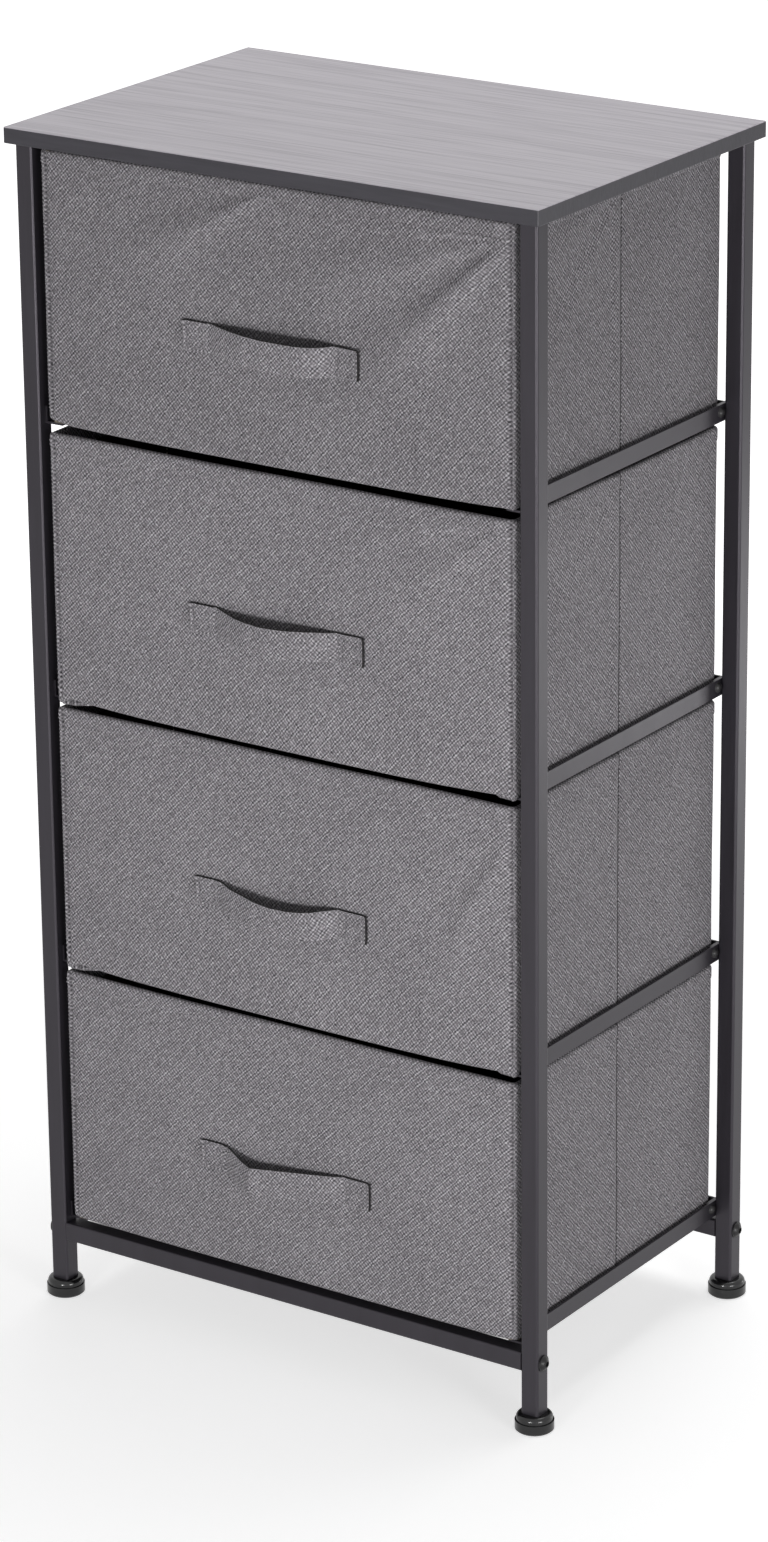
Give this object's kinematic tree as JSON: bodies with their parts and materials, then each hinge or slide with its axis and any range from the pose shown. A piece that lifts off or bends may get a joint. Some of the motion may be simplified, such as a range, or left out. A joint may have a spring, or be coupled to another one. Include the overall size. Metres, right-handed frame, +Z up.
{
  "type": "fabric drawer dresser",
  "caption": "Narrow free-standing dresser: black steel tube frame, grey wood-grain board on top, grey fabric drawers with strap handles on angle rails.",
  "frame": {"origin": "on the floor, under the middle of the board on top", "axes": "+Z up, +Y to the back, +X to the right as seen from the front; the drawers open along -Y"},
  "size_m": [0.4544, 0.3052, 0.912],
  "materials": {
    "board_laminate": "pale grey wood-grain laminate, charcoal edges",
    "frame_steel": "satin black powder coat",
    "foot_plastic": "black, semi-gloss",
    "bolt_steel": "black-plated, glossy",
    "screw_steel": "zinc plated",
    "insert_plastic": "moulded",
    "cover_fabric": "grey melange twill",
    "lining_fabric": "black non-woven with pale lock stitches",
    "stiffener_board": "pressed grey board, sealed in the walls",
    "panel_fabric": "hard board wrapped in black non-woven"
  },
  "bodies": {
    "frame": {"top_board": "board_laminate", "bar_inserts": "insert_plastic", "bar_bolts": "bolt_steel", "rail_bolts": "bolt_steel", "board_screws": "screw_steel", "bottom_bar_front": "frame_steel", "bottom_bar_back": "frame_steel", "leg_front_left": "frame_steel", "foot_front_left": "foot_plastic", "board_lug_front_left": "frame_steel", "leg_front_right": "frame_steel", "foot_front_right": "foot_plastic", "board_lug_front_right": "frame_steel", "leg_back_left": "frame_steel", "foot_back_left": "foot_plastic", "board_lug_back_left": "frame_steel", "leg_back_right": "frame_steel", "foot_back_right": "foot_plastic", "board_lug_back_right": "frame_steel", "cross_bar_1": "frame_steel", "side_rail_1_left": "frame_steel", "side_rail_1_right": "frame_steel", "cross_bar_2": "frame_steel", "side_rail_2_left": "frame_steel", "side_rail_2_right": "frame_steel", "cross_bar_3": "frame_steel", "side_rail_3_left": "frame_steel", "side_rail_3_right": "frame_steel", "cross_bar_4": "frame_steel", "side_rail_4_left": "frame_steel", "side_rail_4_right": "frame_steel"},
    "drawer_1": {"drawer_1_cover": "cover_fabric", "drawer_1_lining": "lining_fabric", "drawer_1_front_stiffener": "stiffener_board", "drawer_1_back_stiffener": "stiffener_board", "drawer_1_side_stiffeners": "stiffener_board", "drawer_1_floor_panel": "panel_fabric", "drawer_1_handle": "cover_fabric"},
    "drawer_2": {"drawer_2_cover": "cover_fabric", "drawer_2_lining": "lining_fabric", "drawer_2_front_stiffener": "stiffener_board", "drawer_2_back_stiffener": "stiffener_board", "drawer_2_side_stiffeners": "stiffener_board", "drawer_2_floor_panel": "panel_fabric", "drawer_2_handle": "cover_fabric"},
    "drawer_3": {"drawer_3_cover": "cover_fabric", "drawer_3_lining": "lining_fabric", "drawer_3_front_stiffener": "stiffener_board", "drawer_3_back_stiffener": "stiffener_board", "drawer_3_side_stiffeners": "stiffener_board", "drawer_3_floor_panel": "panel_fabric", "drawer_3_handle": "cover_fabric"},
    "drawer_4": {"drawer_4_cover": "cover_fabric", "drawer_4_lining": "lining_fabric", "drawer_4_front_stiffener": "stiffener_board", "drawer_4_back_stiffener": "stiffener_board", "drawer_4_side_stiffeners": "stiffener_board", "drawer_4_floor_panel": "panel_fabric", "drawer_4_handle": "cover_fabric"}
  },
  "joints": [
    {"name": "drawer_1_slide", "type": "slide", "parent": "frame", "child": "drawer_1", "axis": [0, -1, 0], "range_m": [0, 0.22]},
    {"name": "drawer_2_slide", "type": "slide", "parent": "frame", "child": "drawer_2", "axis": [0, -1, 0], "range_m": [0, 0.22]},
    {"name": "drawer_3_slide", "type": "slide", "parent": "frame", "child": "drawer_3", "axis": [0, -1, 0], "range_m": [0, 0.22]},
    {"name": "drawer_4_slide", "type": "slide", "parent": "frame", "child": "drawer_4", "axis": [0, -1, 0], "range_m": [0, 0.22]}
  ]
}
